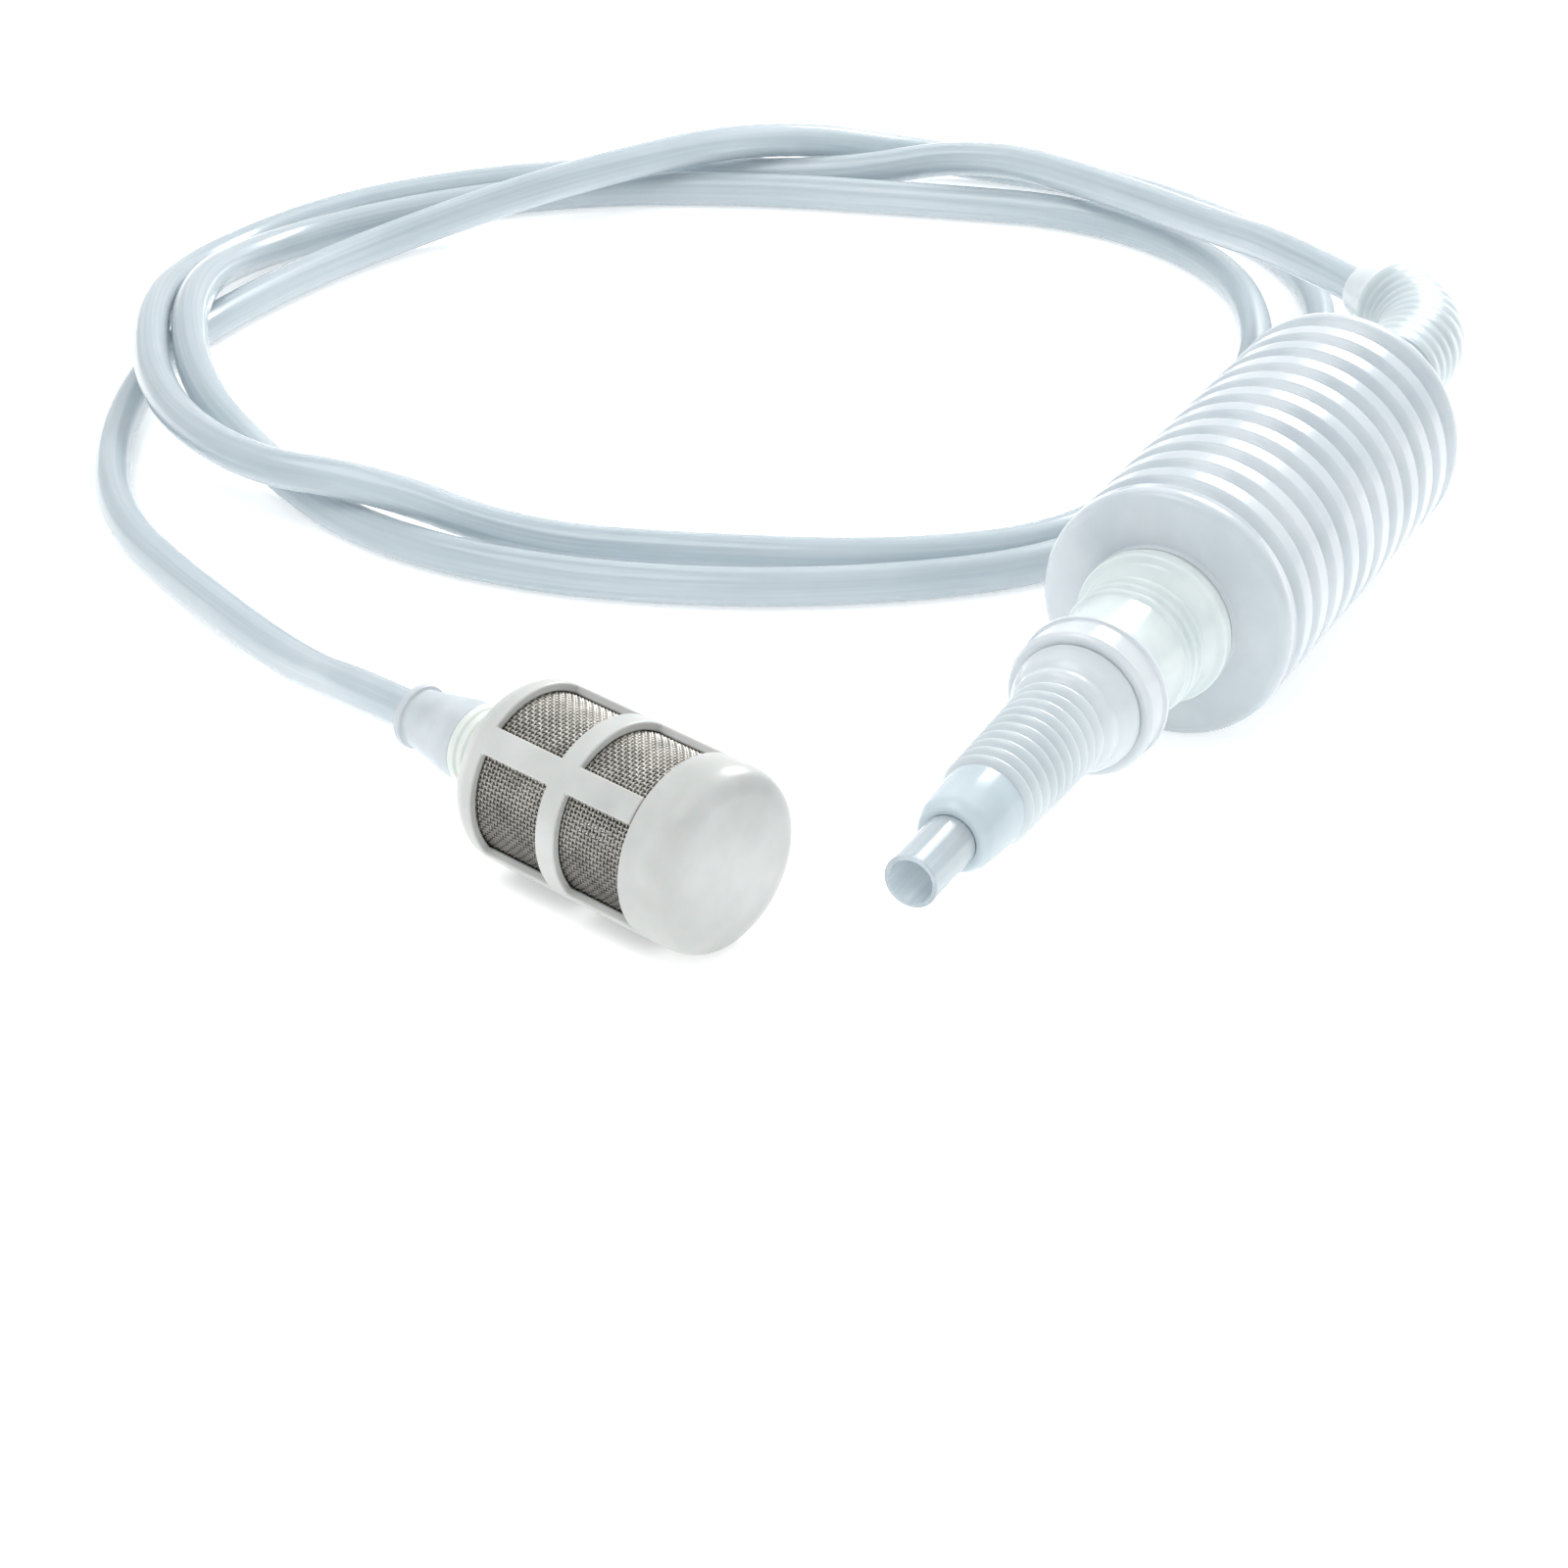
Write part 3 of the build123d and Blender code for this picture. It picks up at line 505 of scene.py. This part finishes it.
e = elbow
face = half + pumpEnds["inlet"]["capFace"]
ringsFrom, elbowEnd = face + k["coneLength"], e["straightEnd"] + e["bend"] * radians(e["angle"])
ringRun = np.linspace(ringsFrom + 0.05, elbowEnd, e["rings"] * 22)
ringPitch = (elbowEnd - ringsFrom) / e["rings"]
ringRadius = e["crest"] - e["groove"] * (1 - ringWave(ringRun - ringsFrom, ringPitch))
cone = coneRun(face, e["crest"], ringPitch)
boreRun = np.linspace(elbowEnd, ringsFrom, 40)
elbowProfile = np.concatenate([rounded(rootCorners(face) + [(*cone[0], 0)], closed=False)[:-1], cone,
                               np.c_[ringRun, ringRadius], np.c_[boreRun, boreRun * 0 + e["bore"]]])
centres, headings = elbowLine(elbowProfile[:, 0])
across = np.cross((0, 0, 1), headings)
sides = 144
turn = np.arange(sides) / sides * 2 * pi
cosTurn, sinTurn = np.cos(turn)[None, :, None], np.sin(turn)[None, :, None]
elbowPoints = centres[:, None] + elbowProfile[:, 1][:, None, None] * (
    cosTurn * across[:, None] + sinTurn * np.array((0, 0, 1.0)))
elbowPiece = tidyUp(addMesh("elbowRings", elbowPoints * mm, gridFaces(len(centres), sides, True, True)))
place(elbowPiece, "elbow", "inlet_end", "spout_plastic", "inlet_elbow")

bendOut = (cos(radians(e["angle"])), sin(radians(e["angle"])), 0)
cuffOrigin = (e["straightEnd"] + e["bend"] * bendOut[1], e["bend"] * (1 - bendOut[0]), bulb["axisHeight"])
cuff = turnedPiece("elbowCuff", [
    (0.1, 6.7, 0.2), (0.1, 8.2, 0.5), (2.0, 7.9, 0.8), (3.4, 7.2, 0.8), (9.0, 5.8, 0.5), (10.0, 5.4, 0.4),
    (10.0, 4.05, 0.2), (3.1, 4.05, 0.1), (3.1, 3.0, 0.1)], cuffOrigin, bendOut)
place(cuff, "spout", "inlet_end", "sleeve_rubber", "inlet_hose_cuff")
print("spout and elbow done")


# strainer; its lengths run along its own axis, and the end cap lies on the minus side
strainer = {"place": (-140.0, 82.6, 17.5), "turn": 16.0, "radius": 17.5, "wall": 1.7, "ribs": 4, "ribTurn": 45.0,
            "ribWidth": 5.4, "midRing": (18.7, 23.3), "windowStart": 2.4, "windowEnd": 38.8, "edge": 0.45}
pull = (sin(radians(strainer["turn"])), cos(radians(strainer["turn"])), 0)


def cageShell():
    # one sheet over angle and length: the back disc from the nipple's hole out, rounded over the edge, then
    # the barrel; the cells that fall in a window are left out, and the sheet is thickened inward
    g = strainer
    back = rounded([(4.5, 5.0, 0), (4.5, 13.5, 2.2), (2.5, 16.2, 1.6), (0, g["radius"], 1.6),
                    (-1.6, g["radius"], 0)], 6, closed=False)
    first, last = g["midRing"]
    barrel = -np.unique(np.round(np.concatenate([
        np.linspace(g["windowStart"], first, 8), np.linspace(last, g["windowEnd"], 8)]), 4))
    along = np.concatenate([back[:, 0], barrel])
    radius = np.concatenate([back[:, 1], barrel * 0 + g["radius"]])
    halfRib = g["ribWidth"] / 2 / (g["radius"] - 0.4)
    share = 2 * pi / g["ribs"]
    one = np.concatenate([np.linspace(-halfRib, halfRib, 5), np.linspace(halfRib, share - halfRib, 24)[1:-1]])
    angle = (np.arange(g["ribs"])[:, None] * share + one[None]).ravel() + radians(g["ribTurn"])
    axis = np.array(pull)
    u, w = np.array((0, 0, 1.0)), np.cross(axis, (0, 0, 1.0))
    ring = np.cos(angle)[:, None] * u + np.sin(angle)[:, None] * w
    points = np.array(g["place"]) + along[:, None, None] * axis + radius[:, None, None] * ring[None]
    faces = gridFaces(len(along), len(angle), False, True)
    middleAlong = -(along[:-1] + along[1:]) / 2
    nextAngle = np.append(angle[1:], angle[0] + 2 * pi)
    fromRib = np.abs(((angle + nextAngle) / 2 - radians(g["ribTurn"]) + share / 2) % share - share / 2)
    inWindow = (((middleAlong > g["windowStart"]) & (middleAlong < first))
                | ((middleAlong > last) & (middleAlong < g["windowEnd"] - 0.01)))
    keep = ~(inWindow[:, None] & (fromRib > halfRib)[None])
    return tidyUp(addMesh("cageShell", points * mm, faces[keep][:, ::-1]), outward=False)


cage = cageShell()
thick = cage.modifiers.new("thickness", "SOLIDIFY")
thick.thickness = strainer["wall"] * mm
thick.offset = -1
soften = cage.modifiers.new("soften", "BEVEL")
soften.width = strainer["edge"] * mm
soften.segments = 3
soften.limit_method = "ANGLE"
soften.angle_limit = radians(40)
soften.harden_normals = True
place(cage, "cage", "inlet_end", "strainer_plastic", "strainer_cage")
spigot = turnedPiece("cageSpigot", [(-38.6, 15.8, 0.1), (-38.6, 16.5, 0.1), (-44.0, 16.5, 0.3), (-44.0, 15.8, 0.2)],
                     strainer["place"], pull)
place(spigot, "cage", "inlet_end", "strainer_plastic")

weave = {"radius": 15.25, "start": 0.4, "end": 43.8, "around": 112, "along": 50, "wire": 0.26, "wave": 0.25}


def wireTubes(centre, tangent, sides=5):
    # centre is (wires, steps, 3): a small round section stands square to each wire at every step
    out = centre - axisPoint(centre)
    out /= np.linalg.norm(out, axis=2)[..., None]
    tangent = tangent / np.linalg.norm(tangent, axis=2)[..., None]
    across = np.cross(tangent, out)
    a = np.arange(sides) / sides * 2 * pi
    section = np.cos(a)[:, None] * out[:, :, None] + np.sin(a)[:, None] * across[:, :, None]
    return centre[:, :, None] + weave["wire"] * section


def axisPoint(points):
    # the foot of each point on the strainer's axis
    offset = points - np.array(strainer["place"])
    return np.array(strainer["place"]) + (offset @ np.array(pull))[..., None] * np.array(pull)


def weaveWires():
    # plain weave on a drum: a lengthwise wire i stands at radius + wave * cos(pi * (crossing + i)), a hoop j
    # at radius - wave * cos(pi * (crossing + j)), so each passes over one and under the next
    g = weave
    axis = np.array(pull)
    u, w = np.array((0, 0, 1.0)), np.cross(axis, (0, 0, 1.0))
    i = np.arange(g["around"])[:, None]
    crossing = np.arange(0, g["along"] * 2) / 2
    t = -(g["start"] + (g["end"] - g["start"]) * (crossing + 0.5) / (g["along"] + 0.5))
    r = g["radius"] + g["wave"] * np.cos(pi * (crossing[None] + i))
    a = 2 * pi * i / g["around"]
    ring = np.cos(a)[..., None] * u + np.sin(a)[..., None] * w
    straight = np.array(strainer["place"]) + t[None, :, None] * axis + r[..., None] * ring
    warp = wireTubes(straight, np.gradient(straight, axis=1))
    n, m, sides, _ = warp.shape
    block = gridFaces(m, sides, False, True)[None] + (np.arange(n) * m * sides)[:, None, None, None]
    lengthwise = tidyUp(addMesh("meshLengthwise", warp * mm, block))
    j = np.arange(g["along"])[:, None]
    crossing = np.arange(0, g["around"] * 2) / 2
    a = 2 * pi * crossing / g["around"]
    r = g["radius"] - g["wave"] * np.cos(pi * (crossing[None] + j))
    t = -(g["start"] + (g["end"] - g["start"]) * (j + 0.5) / (g["along"] + 0.5))
    ring = np.cos(a)[:, None] * u + np.sin(a)[:, None] * w
    hoops = np.array(strainer["place"]) + t[..., None] * axis + r[..., None] * ring[None]
    padded = np.concatenate([hoops[:, -1:], hoops, hoops[:, :1]], 1)
    weft = wireTubes(hoops, padded[:, 2:] - padded[:, :-2])
    n, m, sides, _ = weft.shape
    block = gridFaces(m, sides, True, True)[None] + (np.arange(n) * m * sides)[:, None, None, None]
    hoopwise = tidyUp(addMesh("meshHoops", weft * mm, block))
    return lengthwise, hoopwise


lengthwise, hoopwise = weaveWires()
place(lengthwise, "wire", "inlet_end", "steel_mesh", "strainer_mesh")
place(hoopwise, "wire", "inlet_end", "steel_mesh", "strainer_mesh")

endCap = turnedPiece("strainerCap", [
    (-48.5, 0, 0), (-48.5, 14.8, 0.5), (-46.5, 16.8, 0.5), (-39.1, 16.8, 0.15), (-39.1, 17.5, 0.3),
    (-46.2, 17.5, 2.0), (-48.6, 16.6, 1.2), (-49.8, 14.4, 1.4), (-50.1, 9.0, 2.0), (-50.3, 0, 0)],
    strainer["place"], pull, closed=False)
place(endCap, "cage", "strainer_cap", "strainer_plastic", "strainer_end_cap")

nipple = turnedPiece("hoseNipple", [
    (-0.7, 2.0, 0.1), (-0.7, 4.7, 0.2), (5.3, 4.7, 0.1), (5.3, 8.6, 0.3), (8.3, 8.6, 0.4), (8.3, 7.8, 0.2),
    (9.4, 7.8, 0.2), (9.7, 7.3, 0.2), (10.1, 7.3, 0.2), (10.4, 7.8, 0.2), (11.4, 7.8, 0.2), (11.7, 7.3, 0.2),
    (12.1, 7.3, 0.2), (12.4, 7.8, 0.2), (13.9, 7.8, 0.3), (13.9, 2.95, 0.1), (23.9, 2.95, 0.2), (25.9, 2.3, 0.1),
    (25.9, 2.0, 0.1)], strainer["place"], pull, sides=96)
place(nipple, "nipple", "inlet_end", "nipple_plastic", "strainer_nipple")
sleeve = turnedPiece("hoseSleeve", [
    (14.0, 4.05, 0.1), (14.0, 7.6, 0.5), (17.0, 7.6, 2.0), (28.2, 5.4, 0.3), (28.5, 6.2, 0.3), (30.0, 6.2, 0.5),
    (30.0, 4.05, 0.2)], strainer["place"], pull, sides=96)
place(sleeve, "sleeve", "inlet_end", "sleeve_rubber", "strainer_hose_sleeve")
dressNode("strainer_washer", "gasket")
dressNode("strainer_nut", "nipple")
print("strainer done")


# floor and light
studio = {"world": 0.85, "key": 12.0, "top": 4.0, "floor": (0.93, 0.93, 0.93), "floorGlow": 0.4,
          "floorHalf": 3.0, "sky": (0.97, 0.985, 1)}
floorCorners = studio["floorHalf"] * np.array([(-1, -1, 0), (1, -1, 0), (1, 1, 0), (-1, 1, 0)], float)
floorPiece = addMesh("floor", floorCorners, np.array([[0, 1, 2, 3]]))
floorMaterial = bpy.data.materials.new("floorWhite")
floorMaterial.use_nodes = True
floorShader = floorMaterial.node_tree.nodes["Principled BSDF"]
floorShader.inputs["Base Color"].default_value = (*studio["floor"], 1)
floorShader.inputs["Roughness"].default_value = 0.9
floorShader.inputs["Emission Color"].default_value = (1, 1, 1, 1)
floorShader.inputs["Emission Strength"].default_value = studio["floorGlow"]
floorPiece.data.materials.append(floorMaterial)

world = bpy.data.worlds.new("studio")
world.use_nodes = True
world.node_tree.nodes["Background"].inputs["Color"].default_value = (*studio["sky"], 1)
world.node_tree.nodes["Background"].inputs["Strength"].default_value = studio["world"]
bpy.context.scene.world = world


def softbox(name, spot, target, size, power):
    # a rectangle of light at spot, turned so that it shines toward the target
    data = bpy.data.lights.new(name, "AREA")
    data.shape, data.size, data.size_y, data.energy = "RECTANGLE", size[0], size[1], power
    light = bpy.data.objects.new(name, data)
    direction = np.array(target, float) - np.array(spot, float)
    flat = np.hypot(direction[0], direction[1])
    light.location = spot
    light.rotation_euler = (np.arctan2(flat, -direction[2]), 0, np.arctan2(-direction[0], direction[1]))
    bpy.context.collection.objects.link(light)


softbox("keyBox", (1.05, 0.08, 0.70), (0.0, 0.0, 0.02), (0.42, 0.36), studio["key"])
softbox("topBox", (-0.35, 0.35, 1.1), (-0.05, 0.05, 0.02), (0.8, 0.6), studio["top"])
bpy.context.scene.view_settings.view_transform = "Standard"
print("floor and light done")
